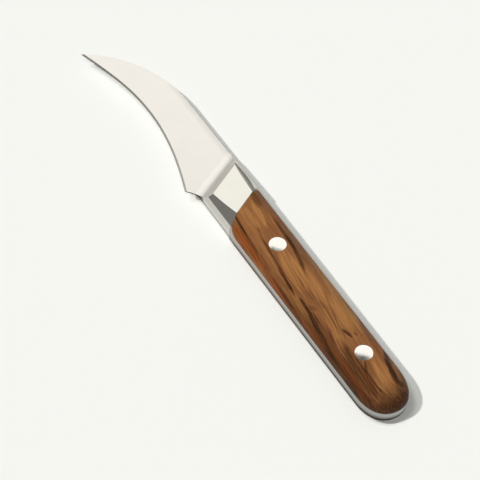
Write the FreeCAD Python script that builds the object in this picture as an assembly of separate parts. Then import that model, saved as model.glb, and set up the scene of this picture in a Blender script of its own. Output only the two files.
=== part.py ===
import FreeCAD, Part
import math
import os

# Bird's beak paring knife, lying on its side as it is left on a table.
# X runs along the knife from the tip to the butt, Y from the cutting edge to the
# spine, Z up through the thickness. The origin is under the middle of the knife,
# on the surface that it lies on. All sizes are in millimetres and degrees.

# Overall
overall_length = 190.5
handle_thickness = 14.2

# Blade outline, in side view
blade_length = 76.8          # tip to heel
heel_drop = 22.8             # spine line down to the heel
tip_drop = 22.6              # spine line down to the tip
spine_shoulder = 40.0        # tip to where the spine begins to fall
tip_angle = 58.8             # spine at the tip, from the knife's length
tip_fullness = 18.8          # how far the curve keeps that direction
shoulder_fullness = 12.5     # how far the curve stays level at the shoulder
edge_angle_tip = 17.6        # cutting edge at the tip
edge_angle_heel = 20.3       # cutting edge at the heel
edge_fullness_tip = 23.4
edge_fullness_heel = 38.0
choil_radius = 8.5           # hollow behind the heel
belly_rise = 3.6             # heel up to the belly of the handle

# Blade section
spine_thickness = 2.0        # at the bolster
edge_thickness = 0.4         # just behind the ground bevel
bevel_angle = 15.0           # each side of the cutting edge
grind_overrun = 3.0          # grinding path past the tip, and past the cutting edge
grind_reach = 28.0           # cutting edge to beyond the spine

# Bolster, from the ridge at its front to the scales behind it
ridge_station = 82.0         # tip to the ridge, at mid height
bolster_length = 14.2        # ridge to the scales
bolster_slant = 28.0         # ridge and joint, from square to the length
ridge_thickness = 8.6
ridge_inset = 2.8            # flat to outline, at the ridge
ridge_crease_inset = 1.0
ridge_crease_height = 3.2    # above the middle plane
ridge_shoulder_height = 3.3  # the same crease on the spine side
flare_hollow = 0.3           # how much the top of the bolster sags between its ends
cove_radius = 12.0           # hollow between ridge and blade
cove_arc = 70.0              # how far round the hollow is cut
cove_bite = 0.26             # how deep it would cut into the blade
cove_overrun = 14.0          # cutting path past the spine and the heel

# Handle
tang_thickness = 3.0
handle_height_front = 18.35
handle_height_butt = 17.85
butt_apex_rise = 9.2         # belly up to the rearmost point
butt_reach_belly = 11.5      # length of the rounded end along the belly
butt_reach_spine = 13.0      # and along the spine
butt_fullness = 0.62         # share of each reach that the curve keeps its direction
side_height = 3.7            # middle plane to the corner that the side rounding takes off
flat_inset = 4.3             # edge of the flat to the outline, before it is rounded
side_round = 4.2
flat_round = 5.0             # corner of the flat
joint_crease_inset = 0.65
joint_crease_height = 4.0
joint_shoulder_height = 4.8
shoulder_bulge = 0.12        # of the spine side, between its flat and its crease
root_reach = 4.0             # steel left in the corner of bolster and tang, each way
root_dip = 1.4               # that corner to the hollow, each way

# Rivets
front_rivet_setback = 21.0   # joint at mid height to the front rivet
back_rivet_setback = 21.7    # butt to the back rivet
rivet_rise_front = 9.3       # belly up to the rivet
rivet_rise_back = 9.6
rivet_head_diameter = 6.25
rivet_head_depth = 2.6
rivet_crown = 0.15           # rim below the middle of the head
barrel_diameter = 4.2
pin_diameter = 2.4
barrel_clearance = 0.1       # round the barrel, in the tang and the scales
pin_relief = 0.6             # left free at the blind end of the barrel

# Places worked out from the sizes
tip_x = -overall_length / 2
butt_x = overall_length / 2
spine_y = heel_drop / 2
heel_y = -heel_drop / 2
belly_y = heel_y + belly_rise
half_thickness = handle_thickness / 2
half_tang = tang_thickness / 2
half_ridge = ridge_thickness / 2
handle_mid_y = belly_y + handle_height_front / 2
ridge_x = tip_x + ridge_station
joint_x = ridge_x + bolster_length
slant = math.tan(math.radians(bolster_slant))
grind_slope = (spine_thickness - edge_thickness) / 2 / heel_drop
far = overall_length         # longer than anything that a cutting tool has to pass
tiny = 0.01


def vec(x, y, z=0.0):
    return FreeCAD.Vector(x, y, z)


def polar(length, angle):
    return vec(length * math.cos(math.radians(angle)), length * math.sin(math.radians(angle)))


def middle(a, b):
    return (a + b) * 0.5


def line(a, b):
    return Part.LineSegment(a, b).toShape()


def arc(a, middle, b):
    return Part.Arc(a, middle, b).toShape()


def bezier(*poles):
    curve = Part.BezierCurve()
    curve.setPoles(list(poles))
    return curve.toBSpline()


def face_of(edges):
    return Part.Face(Part.Wire(edges))


def slab(face, low, high):
    """The solid between two heights over a plan face."""
    return face.translated(vec(0, 0, low)).extrude(vec(0, 0, high - low))


def mirrored(shape):
    """The same shape on the other side of the middle plane."""
    return shape.mirror(vec(0, 0, 0), vec(0, 0, 1))


def on_slant(x, y):
    """Move a point at station x along the slanted line of the bolster."""
    return x - (y - handle_mid_y) * slant


def behind_slant(x):
    """Everything behind the slanted plane at station x."""
    low, high = -far, far
    corners = [vec(on_slant(x, low), low), vec(on_slant(x, low) + 2 * far, low),
               vec(on_slant(x, high) + 2 * far, high), vec(on_slant(x, high), high)]
    return slab(Part.Face(Part.makePolygon(corners + corners[:1])), -far, far)


def layer(low, high):
    """Everything between two heights."""
    return Part.makeBox(2 * far, 2 * far, high - low, vec(-far, -far, low))


def handle_top(x):
    """Height of the handle's spine at station x."""
    share = (x - joint_x) / (butt_x - joint_x)
    return belly_y + handle_height_front + (handle_height_butt - handle_height_front) * share


# Blade: an outline cut from a plate, with its faces ground along the cutting edge

tip = vec(tip_x, spine_y - tip_drop)
heel = vec(tip_x + blade_length, heel_y)
shoulder = vec(tip_x + spine_shoulder, spine_y)


def cutting_edge():
    return bezier(tip, tip + polar(edge_fullness_tip, edge_angle_tip),
                  heel + polar(edge_fullness_heel, 180 - edge_angle_heel), heel)


def choil():
    """Hollow from the heel up to the belly, which it meets level."""
    centre_y = belly_y - choil_radius
    sweep = math.degrees(math.acos(1 - belly_rise / choil_radius))
    centre = vec(heel.x + choil_radius * math.sin(math.radians(sweep)), centre_y)
    return arc(heel, centre + polar(choil_radius, 90 + sweep / 2), centre + vec(0, choil_radius))


def blade_outline():
    hollow = choil()
    belly_start = hollow.Vertexes[-1].Point
    belly_end = vec(on_slant(ridge_x, belly_y), belly_y)
    spine_end = vec(on_slant(ridge_x, spine_y), spine_y)
    falling_spine = bezier(shoulder, shoulder - vec(shoulder_fullness, 0),
                           tip + polar(tip_fullness, tip_angle), tip)
    return face_of([cutting_edge().toShape(), hollow, line(belly_start, belly_end),
                    line(belly_end, spine_end), line(spine_end, shoulder),
                    falling_spine.toShape()])


def heel_inward():
    """Square to the cutting edge at the heel, towards the spine."""
    curve = cutting_edge()
    along = FreeCAD.Vector(*curve.tangent(curve.LastParameter)[0])
    return vec(0, 0, 1).cross(along)


def half_blade(place):
    """Half the blade's thickness at a place behind the heel."""
    return edge_thickness / 2 + (place - heel).dot(heel_inward()) * grind_slope


def grind_cutter():
    """What grinding takes off the upper side: the face, and the bevel at the cutting edge."""
    curve = cutting_edge()
    first, last = curve.FirstParameter, curve.LastParameter
    start = tip - FreeCAD.Vector(*curve.tangent(first)[0]) * grind_overrun
    end = heel + FreeCAD.Vector(*curve.tangent(last)[0]) * bolster_length
    path = Part.Wire([line(start, tip), curve.toShape(), line(heel, end)])
    along = (tip - start).normalize()
    inward = vec(0, 0, 1).cross(along)
    bevel_width = edge_thickness / 2 / math.tan(math.radians(bevel_angle))
    face_rise = edge_thickness / 2 + (grind_reach - bevel_width) * grind_slope
    profile = [(0, 0), (bevel_width, edge_thickness / 2), (grind_reach, face_rise),
               (grind_reach, handle_thickness), (-grind_overrun, handle_thickness),
               (-grind_overrun, 0)]
    corners = [start + inward * reach + vec(0, 0, rise) for reach, rise in profile]
    sweep = Part.BRepOffsetAPI.MakePipeShell(path)
    sweep.setBiNormalMode(vec(0, 0, 1))
    sweep.add(Part.makePolygon(corners + corners[:1]))
    sweep.build()
    sweep.makeSolid()
    return sweep.shape()


def blade():
    """Thickest at the spine by the bolster, and thinner towards the tip and the edge."""
    grind = grind_cutter()
    return slab(blade_outline(), -spine_thickness, spine_thickness).cut([grind, mirrored(grind)])


# Bolster: flares from the ridge to the scales, with a cove down to the blade in front

def bolster_section(x, spine, half, inset, crease_inset, crease_height, shoulder_height):
    """Outline on the slanted plane at station x: flats, belly facets and spine shoulders."""
    belly = [(0, half_tang), (crease_inset, crease_height), (inset, half)]
    shoulder = [(inset, half), (crease_inset, shoulder_height), (0, half_tang)]
    upper = [(belly_y + rise, z) for rise, z in belly]
    upper += [(spine - drop, z) for drop, z in shoulder]
    round_trip = upper + [(y, -z) for y, z in reversed(upper)]
    corners = [vec(on_slant(x, y), y, z) for y, z in round_trip]
    edges = [line(a, b) for a, b in zip(corners, corners[1:] + corners[:1])]
    for first, side in ((3, 1), (7, -1)):
        crown = middle(corners[first], corners[first + 1])
        crown += vec(-slant * shoulder_bulge, shoulder_bulge, side * shoulder_bulge)
        edges[first] = arc(corners[first], crown, corners[first + 1])
    return Part.Wire(edges)


def ridge_section():
    return bolster_section(ridge_x, spine_y, half_ridge, ridge_inset,
                           ridge_crease_inset, ridge_crease_height, ridge_shoulder_height)


def flare():
    joint_spine = handle_top(joint_x)
    waist = bolster_section(middle(ridge_x, joint_x), middle(spine_y, joint_spine),
                            middle(half_ridge, half_thickness) - flare_hollow,
                            middle(ridge_inset, flat_inset),
                            middle(ridge_crease_inset, joint_crease_inset),
                            middle(ridge_crease_height, joint_crease_height),
                            middle(ridge_shoulder_height, joint_shoulder_height))
    back = bolster_section(joint_x, joint_spine, half_thickness, flat_inset,
                           joint_crease_inset, joint_crease_height, joint_shoulder_height)
    return Part.makeLoft([ridge_section(), waist, back], True)


def cove_section(y):
    """The cove's section square to the ridge, running out below the blade's face."""
    lean = math.radians(bolster_slant)

    def at(forward, z):
        return vec(on_slant(ridge_x, y) - forward * math.cos(lean), y - forward * math.sin(lean), z)

    def sunk(forward):
        return half_blade(at(forward, 0)) - cove_bite

    bottom = sunk(cove_radius / 2)
    rise = half_ridge - bottom
    reach = math.sqrt(2 * cove_radius * rise - rise * rise)

    def on_arc(angle):
        return at(reach - cove_radius * math.sin(angle),
                  bottom + cove_radius - cove_radius * math.cos(angle))

    last = math.radians(cove_arc)
    end = 2 * cove_radius
    top = ridge_thickness + cove_radius
    hollow = arc(on_arc(last), on_arc(last / 2), on_arc(0))
    corners = [on_arc(0), at(end, sunk(end)), at(end, top), vec(on_arc(last).x, on_arc(last).y, top),
               on_arc(last)]
    return Part.Wire([hollow] + [line(a, b) for a, b in zip(corners, corners[1:])])


def cove_cutter():
    """The hollow in front of the ridge, on the upper side."""
    low, high = cove_section(heel_y - cove_overrun), cove_section(spine_y + cove_overrun)
    return Part.makeLoft([low, high], True, True)


def neck():
    """Steel between blade and ridge that the cove is ground into."""
    toe = cove_radius / math.cos(math.radians(bolster_slant))
    plate = slab(blade_outline(), -half_tang, half_tang).common(behind_slant(ridge_x - toe))
    thick = Part.Face(ridge_section()).extrude(vec(-toe, 0))
    return plate.fuse(thick)


def bolster():
    cove = cove_cutter()
    return flare().fuse(neck()).cut([cove, mirrored(cove)])


# Handle: one outline for tang and scales, with its long edges rounded

def handle_outline():
    """Straight belly and spine, joined by a blunt rounded butt."""
    apex = vec(butt_x, belly_y + butt_apex_rise)
    front_low = vec(ridge_x, belly_y)
    front_top = vec(ridge_x, handle_top(ridge_x))
    belly_end = vec(butt_x - butt_reach_belly, belly_y)
    spine_end = vec(butt_x - butt_reach_spine, handle_top(butt_x - butt_reach_spine))
    forward = (spine_end - front_top).normalize() * butt_reach_spine
    drop = vec(0, belly_y - apex.y)
    climb = vec(0, spine_end.y - apex.y)
    low_round = bezier(belly_end, belly_end + vec(butt_reach_belly, 0) * butt_fullness,
                       apex + drop * butt_fullness, apex)
    top_round = bezier(apex, apex + climb * butt_fullness,
                       spine_end + forward * butt_fullness, spine_end)
    return face_of([line(front_low, belly_end), low_round.toShape(), top_round.toShape(),
                    line(spine_end, front_top), line(front_top, front_low)])


def handle_body():
    """The whole handle in one: tang and both scales ground flush together."""
    body = slab(handle_outline(), -half_thickness, half_thickness)
    rims = [edge for edge in body.Edges if at_height(edge, half_thickness)
            and edge.BoundBox.XMax > ridge_x + tiny]
    body = body.makeChamfer(half_thickness - side_height, flat_inset, rims)
    shoulders = [edge for edge in body.Edges if at_height(edge, side_height)
                 and edge.BoundBox.XMax > ridge_x + tiny]
    body = body.makeFillet(side_round, shoulders)
    rims = [edge for edge in body.Edges if at_height(edge, half_thickness)
            and edge.BoundBox.XMax > ridge_x + tiny]
    return body.makeFillet(flat_round, rims)


def at_height(edge, height):
    box = edge.BoundBox
    return box.ZLength < tiny and abs(abs(box.ZMin) - height) < tiny


def tang():
    return handle_body().common(layer(-half_tang, half_tang))


def root():
    """Steel left in the corner between the bolster's back and the tang, upper side."""
    backward = vec(math.cos(math.radians(bolster_slant)), math.sin(math.radians(bolster_slant)))
    along = vec(-backward.y, backward.x)
    corner = vec(joint_x, handle_mid_y, half_tang) - along * handle_thickness * 2
    rise = vec(0, 0, root_reach)
    reach = backward * root_reach
    deepest = corner + backward * root_dip + vec(0, 0, root_dip)
    hollow = arc(corner + reach, deepest, corner + rise)
    sides = [line(corner + rise, corner), line(corner, corner + reach)]
    return face_of([hollow] + sides).extrude(along * handle_thickness * 4)


def rivet_places():
    front = vec(joint_x + front_rivet_setback, belly_y + rivet_rise_front)
    back = vec(butt_x - back_rivet_setback, belly_y + rivet_rise_back)
    return [front, back]


def post(place, diameter, low, high):
    """A round bar standing between two heights."""
    return Part.makeCylinder(diameter / 2, high - low, place + vec(0, 0, low))


def barrel_holes(low, high):
    size = barrel_diameter + 2 * barrel_clearance
    return [post(place, size, low, high) for place in rivet_places()]


def forging():
    """Blade, bolster and tang are one piece of steel."""
    behind = behind_slant(joint_x)
    corner = root().common(handle_body()).common(behind)
    back = tang().common(behind)
    steel = bolster().fuse([blade(), back, corner, mirrored(corner)]).removeSplitter()
    return steel.cut(barrel_holes(-half_tang - root_reach, half_tang + root_reach))


def upper_scale():
    wood = handle_body().common(behind_slant(joint_x))
    wood = wood.common(layer(half_tang, far))
    wood = wood.cut([root()] + barrel_holes(half_tang, half_thickness))
    seats = [post(place, rivet_head_diameter, half_thickness - rivet_head_depth, half_thickness)
             for place in rivet_places()]
    return wood.cut(seats)


# Rivets: a tube with a head from below, and a pin with a head pressed into it from above

def crowned_head(place):
    """A head whose middle is level with the flat of the scale, on the upper side."""
    base = post(place, rivet_head_diameter, half_thickness - rivet_head_depth, half_thickness)
    radius = (rivet_head_diameter ** 2 / 4 + rivet_crown ** 2) / (2 * rivet_crown)
    dome = Part.makeSphere(radius, place + vec(0, 0, half_thickness - radius))
    return base.common(dome)


def pin_length():
    return handle_thickness - 2 * rivet_head_depth


def rivet_pin(place):
    seat = half_thickness - rivet_head_depth
    shank = post(place, pin_diameter, seat - pin_length() + pin_relief, seat)
    return crowned_head(place).fuse(shank)


def rivet_barrel(place):
    seat = half_thickness - rivet_head_depth
    tube = post(place, barrel_diameter, -seat, seat)
    bore = post(place, pin_diameter, -seat, seat)
    return mirrored(crowned_head(place)).fuse(tube).cut(bore)


def lying(shape):
    """Raised from the middle plane to lie on the table."""
    return shape.translated(vec(0, 0, half_thickness))


def save(name, shape):
    solid = shape.Solids[0]
    lying(solid).exportStep(os.path.join("parts", name + ".step"))


os.makedirs("parts", exist_ok=True)
front_rivet, back_rivet = rivet_places()
scale = upper_scale()
save("knife_forging", forging())
save("upper_scale", scale)
save("lower_scale", mirrored(scale))
save("front_rivet_pin", rivet_pin(front_rivet))
save("front_rivet_barrel", rivet_barrel(front_rivet))
save("back_rivet_pin", rivet_pin(back_rivet))
save("back_rivet_barrel", rivet_barrel(back_rivet))
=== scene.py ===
import math

import bpy
from mathutils import Matrix, Vector


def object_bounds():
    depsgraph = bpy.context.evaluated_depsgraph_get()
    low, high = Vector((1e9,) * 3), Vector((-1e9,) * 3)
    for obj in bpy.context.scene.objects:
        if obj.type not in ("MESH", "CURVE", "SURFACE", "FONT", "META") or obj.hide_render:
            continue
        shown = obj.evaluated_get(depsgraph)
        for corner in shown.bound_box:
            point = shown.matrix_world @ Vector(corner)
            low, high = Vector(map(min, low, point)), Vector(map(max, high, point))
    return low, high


bl_info = {
    "name": "Bird's Beak Paring Knife",
    "version": (1, 0, 0),
    "blender": (4, 5, 0),
    "location": "View3D > Sidebar > Paring Knife",
    "description": "Steel, wood and a table-top stage for a forged bird's beak paring knife",
    "category": "Object",
}

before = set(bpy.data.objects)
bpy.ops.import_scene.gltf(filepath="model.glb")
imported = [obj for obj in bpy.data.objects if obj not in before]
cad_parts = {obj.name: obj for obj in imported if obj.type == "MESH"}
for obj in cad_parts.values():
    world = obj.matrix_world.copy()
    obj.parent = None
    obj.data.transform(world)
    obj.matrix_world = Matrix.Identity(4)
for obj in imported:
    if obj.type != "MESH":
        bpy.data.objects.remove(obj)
cad_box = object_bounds()

# Places on the knife, in millimetres. X runs from the tip to the butt, Y from the cutting
# edge to the spine, and Z up through the thickness from the lower flat.
MM = 0.001
SPINE = cad_box[1][1] / MM
BUTT = cad_box[1][0] / MM
MIDDLE_PLANE = (cad_box[0][2] + cad_box[1][2]) / 2 / MM

# The bolster's ridge and the joint behind it are slanted lines. A station is where such a
# line crosses the knife's long axis.
SLANT = math.radians(28)
RIDGE = -12.5
JOINT = 1.7


def linear(code):
    """An sRGB hex colour as the linear colour that a shader takes."""
    levels = [int(code[i:i + 2], 16) / 255 for i in (1, 3, 5)]
    return [v / 12.92 if v <= 0.04045 else ((v + 0.055) / 1.055) ** 2.4 for v in levels]


def rgba(colour):
    return (*colour, 1.0)


class SteelSettings(bpy.types.PropertyGroup):
    colour: bpy.props.FloatVectorProperty(
        name="Steel colour", description="Colour of the bare stainless steel",
        subtype="COLOR", size=3, min=0, max=1, default=linear("#dcd7d3"))
    # This dark colour is also laid on the sides' lower corners as painted shade.
    blade_rim: bpy.props.FloatVectorProperty(
        name="Blade rim and painted shade", description="Dark colour of the narrow faces round the blade, also painted shade on the lower corners",
        subtype="COLOR", size=3, min=0, max=1, default=linear("#4c4b47"))
    bolster: bpy.props.FloatVectorProperty(
        name="Bolster colour", description="Colour of the bolster's polished faces",
        subtype="COLOR", size=3, min=0, max=1, default=linear("#d0ccc6"))
    bolster_side: bpy.props.FloatVectorProperty(
        name="Bolster side", description="Colour of the narrow sides of the bolster",
        subtype="COLOR", size=3, min=0, max=1, default=linear("#cfcbc6"))
    edge_front: bpy.props.FloatVectorProperty(
        name="Tang edge by the bolster", description="Colour of the tang's edge at the front",
        subtype="COLOR", size=3, min=0, max=1, default=linear("#b4b1ad"))
    edge_butt: bpy.props.FloatVectorProperty(
        name="Tang edge at the butt", description="Colour of the tang's edge at the back",
        subtype="COLOR", size=3, min=0, max=1, default=linear("#a4a4a1"))
    blade_roughness: bpy.props.FloatProperty(
        name="Blade roughness", description="How matt the ground blade is",
        subtype="FACTOR", min=0, max=1, default=0.24)
    bolster_roughness: bpy.props.FloatProperty(
        name="Bolster roughness", description="How matt the polished bolster is",
        subtype="FACTOR", min=0, max=1, default=0.13)
    edge_roughness: bpy.props.FloatProperty(
        name="Edge roughness", description="How matt the narrow faces of blade and tang are",
        subtype="FACTOR", min=0, max=1, default=0.34)
    scratch_pitch: bpy.props.FloatProperty(
        name="Grinding line spacing", description="Spacing of the grinding lines",
        subtype="DISTANCE", unit="LENGTH", min=0.00005, default=0.35 * MM)


class WoodSettings(bpy.types.PropertyGroup):
    light: bpy.props.FloatVectorProperty(
        name="Light wood", description="Honey colour between the growth lines",
        subtype="COLOR", size=3, min=0, max=1, default=linear("#b07b48"))
    middle: bpy.props.FloatVectorProperty(
        name="Middle wood", description="Main brown of the scales",
        subtype="COLOR", size=3, min=0, max=1, default=linear("#8d5d38"))
    dark: bpy.props.FloatVectorProperty(
        name="Dark wood", description="Growth lines and streaks",
        subtype="COLOR", size=3, min=0, max=1, default=linear("#3a2113"))
    red: bpy.props.FloatVectorProperty(
        name="Red wood", description="Warm band along the belly",
        subtype="COLOR", size=3, min=0, max=1, default=linear("#92491a"))
    fibre: bpy.props.FloatProperty(
        name="Fibre width", description="Width of the finest fibres that show",
        subtype="DISTANCE", unit="LENGTH", min=0.0001, default=0.35 * MM)
    roughness: bpy.props.FloatProperty(
        name="Wood roughness", description="How matt the oiled wood is",
        subtype="FACTOR", min=0, max=1, default=0.5)
    # The lower scale is drawn darker than the upper one as painted shade, for the shade it lies
    # in under the knife.
    lower_painted_shade: bpy.props.FloatProperty(
        name="Lower scale shade", description="Brightness of the lower scale, against the upper one",
        min=0, default=0.45)


class StageSettings(bpy.types.PropertyGroup):
    floor_colour: bpy.props.FloatVectorProperty(
        name="Table colour", description="Colour of the table and the background",
        subtype="COLOR", size=3, min=0, max=1, default=linear("#f6f7f2"))
    key_strength: bpy.props.FloatProperty(
        name="Key light", description="Strength of the light that throws the shadow",
        min=0, default=1.70)
    key_angle: bpy.props.FloatProperty(
        name="Key size", description="Apparent size of that light, which softens the shadow",
        subtype="ANGLE", unit="ROTATION", min=0, default=math.radians(2.5))
    top_strength: bpy.props.FloatProperty(
        name="Top light", description="Strength of the light from overhead",
        min=0, default=0.69)
    top_angle: bpy.props.FloatProperty(
        name="Top light size", description="Apparent size of the light from overhead",
        subtype="ANGLE", unit="ROTATION", min=0, default=math.radians(12))
    front_strength: bpy.props.FloatProperty(
        name="Front light", description="Strength of the light from beside the camera",
        min=0, default=0.88)
    front_angle: bpy.props.FloatProperty(
        name="Front light size", description="Apparent size of the light beside the camera",
        subtype="ANGLE", unit="ROTATION", min=0, default=math.radians(14))
    fill_strength: bpy.props.FloatProperty(
        name="Fill light", description="Strength of the even light from all round",
        min=0, default=0.12)
    room_brightness: bpy.props.FloatProperty(
        name="Room", description="Brightness of the grey room that the steel mirrors",
        min=0, default=0.68)
    box_brightness: bpy.props.FloatProperty(
        name="Soft box", description="Brightness of the soft box that the steel mirrors",
        min=0, default=1.54)
    card_brightness: bpy.props.FloatProperty(
        name="Dark card", description="Brightness of the dark cards that the steel mirrors",
        min=0, default=0.29)


# Materials


def new_material(name):
    """A node material with nothing in it."""
    material = bpy.data.materials.new(name)
    material.use_nodes = True
    material.node_tree.nodes.clear()
    return material


def dress(node_name, material):
    """Gives a CAD piece its finish in every slot."""
    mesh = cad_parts[node_name].data
    for index in range(len(mesh.materials)):
        mesh.materials[index] = material


def add(tree, kind, inputs=None, **settings):
    """Adds one node with its settings, and gives its inputs a value or a link.

    A node given as a value stands for its first output in use.
    """
    node = tree.nodes.new("ShaderNode" + kind)
    for name, value in settings.items():
        setattr(node, name, value)
    for key, value in (inputs or {}).items():
        if isinstance(value, bpy.types.Node):
            value = next(socket for socket in value.outputs if socket.enabled)
        if isinstance(value, bpy.types.NodeSocket):
            tree.links.new(value, node.inputs[key])
        else:
            node.inputs[key].default_value = value
    return node


def place_in_mm(tree):
    """Where a point of the knife is, in millimetres."""
    metres = add(tree, "TexCoord").outputs["Object"]
    return add(tree, "VectorMath", {0: metres, "Scale": 1 / MM}, operation="SCALE")


def grain(tree, place, cell, tilt=0.0, **inputs):
    """A pattern of cells of the given size in millimetres, turned by tilt degrees."""
    local = add(tree, "Mapping", {"Vector": place, "Scale": cell,
                                  "Rotation": (0, 0, math.radians(tilt))}, vector_type="TEXTURE")
    values = {"Vector": local, "Scale": 1.0, **inputs}
    return add(tree, "TexNoise", values).outputs["Fac"]


def steel_zones(tree, place):
    """Shares that say where each finish of the forging lies.

    The bolster begins at the ridge, the tang at the joint. The limits lie a little in front
    of these lines, so that their rounded corners belong to the zone behind. The blade's dark
    rim fades out in the hollow before the ridge. Narrow faces are the ones that stand upright
    when the knife lies on its side.
    """
    station = add(tree, "VectorMath", {0: place, 1: (1.0, math.tan(SLANT), 0.0)},
                  operation="DOT_PRODUCT")
    past_ridge = add(tree, "MapRange", {"Value": station, "From Min": RIDGE - 1.1,
                                        "From Max": RIDGE - 0.5},
                     interpolation_type="SMOOTHSTEP")
    past_joint = add(tree, "Math", {0: station, 1: JOINT - 0.3}, operation="GREATER_THAN")
    blade_only = add(tree, "MapRange", {"Value": station, "From Min": RIDGE - 2.5,
                                        "From Max": RIDGE - 4.5},
                     interpolation_type="SMOOTHSTEP")
    on_blade = add(tree, "Math", {0: station, 1: RIDGE - 0.7}, operation="LESS_THAN")
    on_bolster = add(tree, "Math", {0: station, 1: RIDGE - 0.7}, operation="GREATER_THAN")

    facing = add(tree, "NewGeometry").outputs["True Normal"]
    upwards = add(tree, "SeparateXYZ", {"Vector": facing}).outputs["Z"]
    flatness = add(tree, "Math", {0: upwards}, operation="ABSOLUTE")
    narrow = add(tree, "Math", {0: flatness, 1: 0.1}, operation="LESS_THAN")
    steep = add(tree, "Math", {0: flatness, 1: 0.5}, operation="LESS_THAN")
    blade_rim = add(tree, "Math", {0: narrow, 1: blade_only}, operation="MULTIPLY")
    steep_bolster = add(tree, "Math", {0: steep, 1: on_bolster}, operation="MULTIPLY")
    side = add(tree, "Math", {0: narrow, 1: steep_bolster}, operation="MAXIMUM")
    return {"blade": on_blade, "bolster": past_ridge, "tang": past_joint, "rim": blade_rim,
            "side": side}


def steel_colour(tree, settings, zones, axes, clouds):
    """The colour of each zone, with painted shade towards the blade's spine and the sides' lower
    corners.
    """
    # The tang's edge is darker towards the butt.
    towards_butt = add(tree, "MapRange", {"Value": axes.outputs["X"], "From Min": 5.0,
                                          "From Max": BUTT - 10.25},
                       interpolation_type="SMOOTHSTEP")
    edge = add(tree, "Mix", {"Factor": towards_butt, "A": rgba(settings.edge_front),
                             "B": rgba(settings.edge_butt)}, data_type="RGBA")
    # Every side is painted darker towards its lower corner, in the blade rim's dark colour:
    # painted shade, which stands for the shaded table under the knife that this corner mirrors.
    painted_corner_shade = add(tree, "MapRange", {"Value": axes.outputs["Z"], "To Max": 0.7,
                                          "From Min": MIDDLE_PLANE + 0.3,
                                          "From Max": MIDDLE_PLANE - 1.5},
                       interpolation_type="SMOOTHSTEP")
    lower = add(tree, "Math", {0: zones["side"], 1: painted_corner_shade}, operation="MULTIPLY")
    colour = rgba(settings.colour)
    for share, zone_colour in ((zones["bolster"], rgba(settings.bolster)),
                               (zones["side"], rgba(settings.bolster_side)),
                               (zones["tang"], edge),
                               (lower, rgba(settings.blade_rim)),
                               (zones["rim"], rgba(settings.blade_rim))):
        colour = add(tree, "Mix", {"Factor": share, "A": colour, "B": zone_colour},
                     data_type="RGBA")

    # The blade is painted a little darker near its spine, as painted shade for the dimmer
    # reflection there, and the clouds dim the steel by up to 3%.
    painted_spine_shade = add(tree, "MapRange", {"Value": axes.outputs["Y"], "From Min": SPINE - 2.8,
                                        "From Max": SPINE, "To Min": 1.0, "To Max": 0.86},
                     interpolation_type="SMOOTHSTEP")
    shade = add(tree, "Mix", {"Factor": zones["blade"], "A": 1.0, "B": painted_spine_shade})
    haze = add(tree, "MapRange", {"Value": clouds, "From Min": 0.3, "From Max": 0.7,
                                  "To Min": 0.97, "To Max": 1.0},
               interpolation_type="SMOOTHSTEP")
    for dimming in (shade, haze):
        colour = add(tree, "Mix", {"Factor": 1.0, "A": colour, "B": dimming},
                     data_type="RGBA", blend_type="MULTIPLY")
    return colour


def steel_roughness(tree, settings, zones, lines, clouds):
    """How matt each zone is, broken up by the grinding lines and the clouds."""
    finish = settings.blade_roughness
    for share, zone_roughness in ((zones["bolster"], settings.bolster_roughness),
                                  (zones["tang"], settings.edge_roughness),
                                  (zones["rim"], settings.edge_roughness)):
        finish = add(tree, "Mix", {"Factor": share, "A": finish, "B": zone_roughness})
    wear = add(tree, "Math", {0: lines, 1: 0.06, 2: -0.03}, operation="MULTIPLY_ADD")
    smear = add(tree, "Math", {0: clouds, 1: 0.03, 2: wear}, operation="MULTIPLY_ADD")
    return add(tree, "Math", {0: finish, 1: smear}, operation="ADD", use_clamp=True)


def forged_steel(settings):
    """Stainless steel in four finishes: ground blade, polished bolster, dark and linished edges.

    The blade's fine cross lines give it a soft white sheen, the bolster mirrors the room in
    crisp facets, and the narrow faces round the blade and the tang are duller and greyer.
    Painted shade darkens the blade towards its spine and every side towards its lower corner.
    """
    material = new_material("Stainless steel, ground and polished")
    tree = material.node_tree
    place = place_in_mm(tree)
    axes = add(tree, "SeparateXYZ", {"Vector": place})
    zones = steel_zones(tree, place)

    # Grinding lines across the blade, and along the tang, each 25 times as long as they are
    # far apart. They are really finer than 0.1 mm, and are drawn coarser, so that they show.
    pitch = settings.scratch_pitch / MM
    streak = 25 * pitch
    across = grain(tree, place, (pitch, streak, streak), Detail=3.0)
    along = grain(tree, place, (streak, pitch, pitch), Detail=3.0)
    lines = add(tree, "Mix", {"Factor": zones["tang"], "A": across, "B": along})
    # Faint clouds left by wiping, about 8 mm wide.
    clouds = grain(tree, place, (8.0, 8.0, 8.0), Detail=4.0)

    colour = steel_colour(tree, settings, zones, axes, clouds)
    roughness = steel_roughness(tree, settings, zones, lines, clouds)
    relief = add(tree, "Bump", {"Strength": 0.02, "Distance": 0.02 * MM, "Height": lines})
    shader = add(tree, "BsdfPrincipled", {"Base Color": colour, "Metallic": 1.0,
                                          "Roughness": roughness, "Normal": relief})
    add(tree, "OutputMaterial", {"Surface": shader})
    return material


def rivet_steel(settings):
    """Bright stainless rivet heads, faced with a fine stone: fine parallel lines, near mirror."""
    material = new_material("Stainless steel, fine faced")
    tree = material.node_tree
    # Facing lines are really finer than 0.1 mm. They are drawn at 0.3 mm, so that they show.
    lines = grain(tree, place_in_mm(tree), (0.3, 4.0, 4.0), 20.0, Detail=4.0)
    roughness = add(tree, "MapRange", {"Value": lines, "From Min": 0.3, "From Max": 0.7,
                                       "To Min": 0.5 * settings.bolster_roughness,
                                       "To Max": 1.1 * settings.bolster_roughness},
                    interpolation_type="SMOOTHSTEP")
    relief = add(tree, "Bump", {"Strength": 0.15, "Distance": 0.01 * MM, "Height": lines})
    shader = add(tree, "BsdfPrincipled", {"Base Color": rgba(settings.colour), "Metallic": 1.0,
                                          "Roughness": roughness, "Normal": relief})
    add(tree, "OutputMaterial", {"Surface": shader})
    return material


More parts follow.
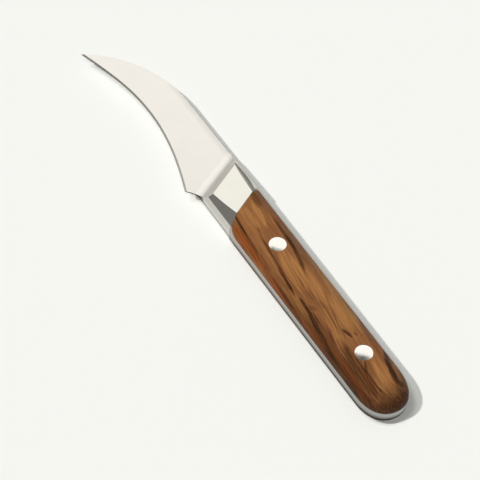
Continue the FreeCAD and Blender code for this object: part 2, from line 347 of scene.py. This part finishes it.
# The figure of the wood, in millimetres on the flat of the scale: the middle of each mark,
# its tilt in degrees, its length, its width and its strength.
DARK_STREAKS = (
    ((8.6, -5.2), -8, 16, 1.5, 1.0),
    ((17.5, -6.3), -6, 20, 2.3, 0.7),
    ((26.3, -7.0), -5, 17, 2.6, 0.45),
    ((45.4, -8.7), -5, 33, 1.8, 0.9),
    ((48.4, -7.4), -8, 23, 1.3, 0.5),
    ((25.5, -2.9), -7, 23, 1.6, 0.65),
    ((36.7, -4.5), -10, 21, 1.7, 0.95),
    ((50.2, -3.3), 25, 5, 2.6, 0.5),
    ((50.3, -5.2), -6, 15, 2.0, 0.8),
    ((58.5, -6.2), -7, 28, 2.1, 0.95),
    ((70.0, -8.0), -10, 24, 2.2, 1.0),
    ((80.0, -9.2), -6, 26, 2.8, 1.0),
    ((65.7, -5.5), -6, 39, 5.5, 0.65),
    ((80.5, -4.3), -6, 36, 7.4, 0.8),
    ((81.9, -3.6), -15, 14, 1.4, 0.6),
    ((78.5, -0.8), -21, 8, 1.1, 0.9),
    ((83.5, -1.8), -3, 16, 1.1, 0.9),
    ((90.0, -1.5), 8, 14, 1.1, 0.8),
    ((64.4, 1.3), 17, 6, 1.5, 0.85),
    ((66.2, 3.6), 26, 2, 0.9, 0.5),
    ((80.9, 6.6), -16, 11, 2.4, 0.95),
    ((85.5, 5.3), -14, 12, 2.4, 0.95),
    ((89.5, 5.2), 20, 8, 2.2, 0.8),
    ((89.4, 6.7), -17, 8, 1.6, 0.6),
    ((18.2, 5.9), -3, 16, 1.7, 0.65),
    ((24.4, 5.6), -5, 12, 1.5, 0.9),
    ((31.0, 4.4), -13, 17, 1.7, 0.75),
    ((1.8, 5.5), -7, 11, 3.7, 0.5),
    ((53.7, 2.2), -13, 19, 1.0, 0.4),
    ((61.9, 0.3), -10, 16, 1.0, 0.4),
)
HONEY_PATCHES = (
    ((7.2, 2.9), -8, 15, 3.0, 0.8),
    ((7.9, -0.1), -4, 13, 2.7, 0.8),
    ((33.9, 0.3), -6, 23, 6.4, 0.8),
    ((43.7, 2.9), -5, 21, 4.2, 0.6),
    ((56.4, 4.4), -6, 19, 5.3, 0.7),
    ((85.4, 1.5), -10, 19, 8.0, 0.85),
    ((48.0, 7.4), -4, 46, 4.0, 1.0),
    ((61.1, -0.9), -7, 22, 4.8, 0.4),
)
RED_BANDS = (
    ((19.4, -8.1), -3, 30, 4.8, 0.9),
    ((42.4, -9.3), -2, 31, 4.8, 0.9),
    ((61.1, -8.7), -4, 22, 3.7, 1.0),
    ((79.6, -7.6), -2, 26, 4.0, 0.75),
    ((83.1, -3.2), -7, 11, 2.1, 0.6),
    ((11.6, 7.4), -5, 12, 3.2, 0.7),
    ((74.5, 6.9), -4, 10, 3.2, 0.5),
    ((68.1, -6.1), -3, 23, 2.1, 0.4),
)

# How far the growth layers lean for each millimetre of depth: along, across and inwards.
LAYER_LEAN = (0.60, -0.43, 0.3)


def marks(tree, place, fray, table):
    """Each mark's strength in its middle and 0 outside the marks, frayed along the fibres."""
    right_through = 1000.0
    total = 0.0
    for middle, tilt, length, width, strength in table:
        local = add(tree, "Mapping", {"Vector": place, "Location": (*middle, 0.0),
                                      "Rotation": (0, 0, math.radians(tilt)),
                                      "Scale": (length / 2, width / 2, right_through)},
                    vector_type="TEXTURE")
        oval = add(tree, "TexGradient", {"Vector": local}, gradient_type="SPHERICAL")
        frayed = add(tree, "Math", {0: oval.outputs["Fac"], 1: fray}, operation="MULTIPLY")
        mark = add(tree, "MapRange", {"Value": frayed, "From Max": 0.5, "To Max": strength},
                   interpolation_type="SMOOTHSTEP")
        total = add(tree, "Math", {0: total, 1: mark}, operation="MAXIMUM")
    return total


def growth_layers(tree, side):
    """Where a point lies among the growth layers, in millimetres.

    The layers lean through the thickness, so that the figure on the flat runs on over the
    rounded edges. Depth is measured inwards from the flat of either scale.
    """
    axes = add(tree, "SeparateXYZ", {"Vector": place_in_mm(tree)})
    height = add(tree, "Math", {0: axes.outputs["Z"], 1: MIDDLE_PLANE}, operation="SUBTRACT")
    distance = add(tree, "Math", {0: height}, operation="ABSOLUTE")
    depth = add(tree, "Math", {0: MIDDLE_PLANE, 1: distance}, operation="SUBTRACT")
    lean_along, lean_across, spread = LAYER_LEAN
    along = add(tree, "Math", {0: depth, 1: lean_along, 2: axes.outputs["X"]},
                operation="MULTIPLY_ADD")
    across = add(tree, "Math", {0: depth, 1: lean_across, 2: axes.outputs["Y"]},
                 operation="MULTIPLY_ADD")
    inwards = add(tree, "Math", {0: depth, 1: spread * side}, operation="MULTIPLY")
    return add(tree, "CombineXYZ", {"X": along, "Y": across, "Z": inwards})


def wander(tree, layers):
    """How far the growth layers stray along and across the knife, in millimetres.

    They bend by about a millimetre over a length of 2 to 3 cm, and ripple by a quarter of that.
    """
    bend = grain(tree, layers, (24.0, 8.0, 8.0), Detail=1.5)
    ripple = grain(tree, layers, (6.0, 1.8, 3.0), Detail=3.0)
    wide = add(tree, "Math", {0: bend, 1: 2.4, 2: -1.2}, operation="MULTIPLY_ADD")
    narrow = add(tree, "Math", {0: ripple, 1: 0.5, 2: -0.25}, operation="MULTIPLY_ADD")
    sway = add(tree, "Math", {0: wide, 1: narrow}, operation="ADD")
    lengthwise = add(tree, "Math", {0: sway, 1: 2.0}, operation="MULTIPLY")
    return add(tree, "CombineXYZ", {"X": lengthwise, "Y": sway})


def dark_wood_and_butt_shade(tree, figure):
    """Share of the dark wood, which grows towards the belly, and of painted shade at the butt.

    The belly's share is smaller near the bolster. Towards the butt the wood is painted dark
    as shade on the rounded end. The limits are in millimetres.
    """
    axes = add(tree, "SeparateXYZ", {"Vector": figure})
    belly = add(tree, "MapRange", {"Value": axes.outputs["Y"], "From Min": -1.5,
                                   "From Max": -8.0, "To Max": 0.9},
                interpolation_type="SMOOTHSTEP")
    rearward = add(tree, "MapRange", {"Value": axes.outputs["X"], "From Min": 20.0,
                                      "From Max": 75.0, "To Min": 0.4},
                   interpolation_type="SMOOTHSTEP")
    # Painted shade: the rounded end of the butt is painted dark.
    butt = add(tree, "MapRange", {"Value": axes.outputs["X"], "From Min": 84.0,
                                  "From Max": 96.0, "To Max": 0.95},
               interpolation_type="SMOOTHSTEP")
    low = add(tree, "Math", {0: belly, 1: rearward}, operation="MULTIPLY")
    return add(tree, "Math", {0: low, 1: butt}, operation="MAXIMUM")


def wood_effects(tree, settings, brightness, fine, bands, growth):
    """What the patterns of the wood do to its figure, its brightness and its sheen."""
    effects = {}
    # Each row holds a name, the pattern, the span of its values that counts, and what comes
    # out at the span's start and end.
    for name, pattern, start, end, low, high in (
            ("tear", fine, 0.3, 0.7, 1.35, 0.7),
            ("fray", growth, 0.36, 0.62, 2.0, 0.35),
            ("streak fray", growth, 0.36, 0.62, 1.5, 0.75),
            ("pale bands", bands, 0.50, 0.72, 0.0, 0.7),
            ("dark bands", bands, 0.48, 0.30, 0.0, 0.4),
            ("thin lines", growth, 0.44, 0.30, 0.0, 0.45),
            ("dark fibres", fine, 0.25, 0.75, 1.2, 0.8),
            # A brightness below 1 darkens the scale as painted shade.
            ("fibres", fine, 0.25, 0.75, 0.66 * brightness, 1.28 * brightness),
            ("sheen", fine, 0.25, 0.75, settings.roughness + 0.06, settings.roughness - 0.06)):
        effects[name] = add(tree, "MapRange", {"Value": pattern, "From Min": start,
                                               "From Max": end, "To Min": low, "To Max": high},
                            interpolation_type="SMOOTHSTEP")
    return effects


def wood_shares(tree, marked, effects, heart_and_butt_shade):
    """How much honey, red and dark wood there is at a point."""
    fray = add(tree, "Math", {0: effects["fray"], 1: effects["tear"]}, operation="MULTIPLY")
    streak_fray = add(tree, "Math", {0: effects["streak fray"], 1: effects["tear"]},
                      operation="MULTIPLY")
    patches = marks(tree, marked, fray, HONEY_PATCHES)
    honey = add(tree, "Math", {0: patches, 1: effects["pale bands"]}, operation="MAXIMUM")
    red_bands = marks(tree, marked, fray, RED_BANDS)
    red = add(tree, "Math", {0: red_bands, 1: 0.85}, operation="MULTIPLY")
    dark = marks(tree, marked, streak_fray, DARK_STREAKS)
    # The dark share also carries the painted shade at the butt.
    for darker in (effects["dark bands"], effects["thin lines"], heart_and_butt_shade):
        dark = add(tree, "Math", {0: dark, 1: darker}, operation="MAXIMUM")
    # The red bands stay a little clearer of the dark than the wood round them.
    clear = add(tree, "MapRange", {"Value": red_bands, "To Min": 1.0, "To Max": 0.85},
                interpolation_type="SMOOTHSTEP")
    for thinner in (effects["dark fibres"], clear):
        dark = add(tree, "Math", {0: dark, 1: thinner}, operation="MULTIPLY")
    return honey, red, dark


def figured_wood(settings, name, side, brightness):
    """Dense brown hardwood, sanded and oiled: honey and brown with near-black growth lines.

    The oil leaves a faint satin sheen that breaks up along the fibres. The two scales are cut
    side by side, and the lower one, side -1, shows the same figure as a mirror image. A
    brightness below 1 darkens the whole scale as painted shade, as for the lower one.
    """
    material = new_material(name)
    tree = material.node_tree
    layers = growth_layers(tree, side)
    stray = wander(tree, layers)
    figure = add(tree, "VectorMath", {0: layers, 1: stray}, operation="ADD")
    # The listed marks stray by only a few tenths of a millimetre.
    nudge = add(tree, "VectorMath", {0: stray, "Scale": 0.3}, operation="SCALE")
    marked = add(tree, "VectorMath", {0: layers, 1: nudge}, operation="ADD")

    # The fibres are really finer than 0.1 mm, and are drawn coarser, so that they show.
    fibre = settings.fibre / MM
    fine = grain(tree, figure, (30 * fibre, fibre, fibre), -6.0, Detail=5.0, Roughness=0.7)
    bands = grain(tree, figure, (36.0, 2.4, 4.0), -6.0, Detail=4.0, Roughness=0.55)
    growth = grain(tree, figure, (34.0, 0.9, 3.0), -7.0, Detail=2.0)
    effects = wood_effects(tree, settings, brightness, fine, bands, growth)
    honey, red, dark = wood_shares(tree, marked, effects, dark_wood_and_butt_shade(tree, figure))

    colour = rgba(settings.middle)
    for share, wood in ((honey, settings.light), (red, settings.red), (dark, settings.dark)):
        colour = add(tree, "Mix", {"Factor": share, "A": colour, "B": rgba(wood)},
                     data_type="RGBA")
    colour = add(tree, "Mix", {"Factor": 1.0, "A": colour, "B": effects["fibres"]},
                 data_type="RGBA", blend_type="MULTIPLY")
    relief = add(tree, "Bump", {"Strength": 0.25, "Distance": 0.05 * MM, "Height": fine})
    shader = add(tree, "BsdfPrincipled", {"Base Color": colour, "Roughness": effects["sheen"],
                                          "Specular IOR Level": 0.1, "Normal": relief})
    add(tree, "OutputMaterial", {"Surface": shader})
    return material


def table_top(settings):
    """Matt painted board: an even pale ground that takes the knife's shadow."""
    material = new_material("Painted board, matt")
    tree = material.node_tree
    shader = add(tree, "BsdfPrincipled", {"Base Color": rgba(settings.floor_colour),
                                          "Roughness": 0.9, "Specular IOR Level": 0.0})
    add(tree, "OutputMaterial", {"Surface": shader})
    return material


# Table, light and camera


def lay_table(settings):
    """A board that reaches 4 m each way, so that its rim is out of sight."""
    reach = 4.0
    outline = [(-reach, -reach, 0), (reach, -reach, 0), (reach, reach, 0), (-reach, reach, 0)]
    mesh = bpy.data.meshes.new("table_top")
    mesh.from_pydata(outline, [], [(0, 1, 2, 3)])
    mesh.materials.append(table_top(settings))
    table = bpy.data.objects.new("table_top", mesh)
    bpy.context.scene.collection.objects.link(table)


def hang_lamps(settings):
    """A small key light that throws the shadow, and soft ones from overhead and the front.

    The steel doesn't mirror them.
    """
    # Strength, apparent size, and the way towards the lamp.
    lamps = {
        "key_light": (settings.key_strength, settings.key_angle, (-0.075, -0.66, 1.0)),
        "top_light": (settings.top_strength, settings.top_angle, (-0.05, -0.40, 1.0)),
        "front_light": (settings.front_strength, settings.front_angle, (0.55, -0.42, 1.0))}
    for name, (strength, angle, towards) in lamps.items():
        lamp = bpy.data.lights.new(name, "SUN")
        lamp.energy = strength
        lamp.angle = angle
        piece = bpy.data.objects.new(name, lamp)
        bpy.context.scene.collection.objects.link(piece)
        piece.rotation_euler = Vector(towards).to_track_quat("Z", "Y").to_euler()
        piece.visible_glossy = False


def studio(tree, settings):
    """How bright the room is in each direction, as the steel mirrors it.

    The room is mid grey. Dark cards stand off the tip and the cutting edge, low behind the
    spine and overhead. A large soft box stands where the blade and the bolster's flat mirror
    it to the camera.
    """
    towards = add(tree, "SeparateXYZ", {"Vector": add(tree, "TexCoord").outputs["Generated"]})
    # Both axes are turned round and half a turn is added, so that the angle sideways runs from
    # 0 to a full turn.
    turned_x, turned_y = [add(tree, "Math", {0: towards.outputs[axis], 1: -1.0},
                              operation="MULTIPLY") for axis in ("X", "Y")]
    bearing = add(tree, "Math", {0: turned_y, 1: turned_x}, operation="ARCTAN2")
    azimuth = add(tree, "Math", {0: bearing, 1: math.pi}, operation="ADD")
    elevation = add(tree, "Math", {0: towards.outputs["Z"]}, operation="ARCSINE")

    card = settings.card_brightness
    box = settings.box_brightness
    level = settings.room_brightness
    # Each panel's brightness, its limits sideways and upwards, and half the width of its soft
    # border, in degrees. Sideways they are counted from the butt's end of the long axis, and
    # run anticlockwise as seen from above.
    for brightness, sideways, upwards, softness in (
            (card, (184, 285), (-10, 75), 4),
            (card, (85, 133), (-10, 28), 5),
            (0.6 * card, (100, 225), (55, 84), 3),
            (box, (105, 179), (27, 61), 2.5),
            (0.6 * card, (148, 190), (58.5, 84), 2),
            (box, (150, 179), (15, 40), 6)):
        share = 1.0
        border = math.radians(softness)
        for angle, (low, high) in ((azimuth, sideways), (elevation, upwards)):
            middle = math.radians((low + high) / 2)
            reach = math.radians((high - low) / 2)
            offset = add(tree, "Math", {0: angle, 1: middle}, operation="SUBTRACT")
            distance = add(tree, "Math", {0: offset}, operation="ABSOLUTE")
            inside = add(tree, "MapRange", {"Value": distance, "From Min": reach + border,
                                            "From Max": reach - border},
                         interpolation_type="SMOOTHSTEP")
            share = add(tree, "Math", {0: share, 1: inside}, operation="MULTIPLY")
        level = add(tree, "Mix", {"Factor": share, "A": level, "B": brightness})
    return level


def light_the_room(settings):
    """Even fill for matt surfaces, the studio for the steel, and a plain bright background."""
    world = bpy.data.worlds.new("room")
    bpy.context.scene.world = world
    world.use_nodes = True
    tree = world.node_tree
    tree.nodes.clear()
    path = add(tree, "LightPath")
    mirrored = add(tree, "Mix", {"Factor": path.outputs["Is Glossy Ray"],
                                 "A": settings.fill_strength, "B": studio(tree, settings)})
    seen = add(tree, "Mix", {"Factor": path.outputs["Is Camera Ray"], "A": mirrored, "B": 1.0})
    light = add(tree, "Background", {"Color": rgba(settings.floor_colour), "Strength": seen})
    add(tree, "OutputWorld", {"Surface": light})


def place_camera(scene):
    """Looks down on the knife from beside the butt, with a long lens."""
    lens = bpy.data.cameras.new("camera")
    lens.lens = 120.0
    lens.sensor_width = 36.0
    lens.clip_end = 20.0
    camera = bpy.data.objects.new("camera", lens)
    scene.collection.objects.link(camera)
    # The target is the middle of the picture. From straight above it the camera is rolled,
    # tilted and then swung round.
    target = Vector((9.7, -5.8, MIDDLE_PLANE)) * MM
    distance = 560.7 * MM
    bearing, tilt, roll = [math.radians(angle) for angle in (54.324, 36.5, 4.2)]
    turn = (Matrix.Rotation(bearing, 4, "Z") @ Matrix.Rotation(tilt, 4, "X")
            @ Matrix.Rotation(roll, 4, "Z"))
    back = turn.to_3x3().col[2]
    camera.matrix_world = Matrix.Translation(target + distance * back) @ turn
    scene.camera = camera


# Operators


class KNIFE_OT_forging(bpy.types.Operator):
    """Finish the one piece of steel that is blade, bolster and tang"""
    bl_idname = "knife.forging"
    bl_label = "Blade, bolster and tang"

    def execute(self, context):
        dress("knife_forging", forged_steel(context.scene.knife_steel))
        return {"FINISHED"}


class KNIFE_OT_scales(bpy.types.Operator):
    """Finish the two wooden scales"""
    bl_idname = "knife.scales"
    bl_label = "Scales"

    def execute(self, context):
        settings = context.scene.knife_wood
        dress("upper_scale", figured_wood(settings, "Figured hardwood, oiled, upper", 1, 1.0))
        # The lower scale is drawn darker, as painted shade.
        dress("lower_scale", figured_wood(settings, "Figured hardwood, oiled, lower, in painted shade", -1,
                                          settings.lower_painted_shade))
        return {"FINISHED"}


class KNIFE_OT_rivets(bpy.types.Operator):
    """Finish the two rivets, each of a barrel half and a pin half"""
    bl_idname = "knife.rivets"
    bl_label = "Rivets"

    def execute(self, context):
        steel = rivet_steel(context.scene.knife_steel)
        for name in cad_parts:
            if "rivet" in name:
                dress(name, steel)
        return {"FINISHED"}


class KNIFE_OT_stage(bpy.types.Operator):
    """Lay the table, set the light and place the camera"""
    bl_idname = "knife.stage"
    bl_label = "Table, light and camera"

    def execute(self, context):
        settings = context.scene.knife_stage
        lay_table(settings)
        hang_lamps(settings)
        light_the_room(settings)
        place_camera(context.scene)
        context.scene.view_settings.view_transform = "Standard"
        return {"FINISHED"}


class KNIFE_PT_panel(bpy.types.Panel):
    """Lists the knife's settings and the steps that make it"""
    bl_idname = "KNIFE_PT_panel"
    bl_label = "Paring Knife"
    bl_space_type = "VIEW_3D"
    bl_region_type = "UI"
    bl_category = "Paring Knife"

    def draw(self, context):
        for settings in (context.scene.knife_steel, context.scene.knife_wood,
                         context.scene.knife_stage):
            for name in settings.__annotations__:
                self.layout.prop(settings, name)
        for operator in OPERATORS:
            self.layout.operator(operator.bl_idname)


OPERATORS = (KNIFE_OT_forging, KNIFE_OT_scales, KNIFE_OT_rivets, KNIFE_OT_stage)
GROUPS = {"knife_steel": SteelSettings, "knife_wood": WoodSettings, "knife_stage": StageSettings}


def register():
    for name, group in GROUPS.items():
        bpy.utils.register_class(group)
        setattr(bpy.types.Scene, name, bpy.props.PointerProperty(type=group))
    for operator in OPERATORS:
        bpy.utils.register_class(operator)
    bpy.utils.register_class(KNIFE_PT_panel)


def unregister():
    bpy.utils.unregister_class(KNIFE_PT_panel)
    for operator in reversed(OPERATORS):
        bpy.utils.unregister_class(operator)
    for name, group in GROUPS.items():
        delattr(bpy.types.Scene, name)
        bpy.utils.unregister_class(group)


def main():
    register()
    bpy.ops.knife.forging()
    bpy.ops.knife.scales()
    bpy.ops.knife.rivets()
    bpy.ops.knife.stage()


if __name__ == "__main__":
    main()
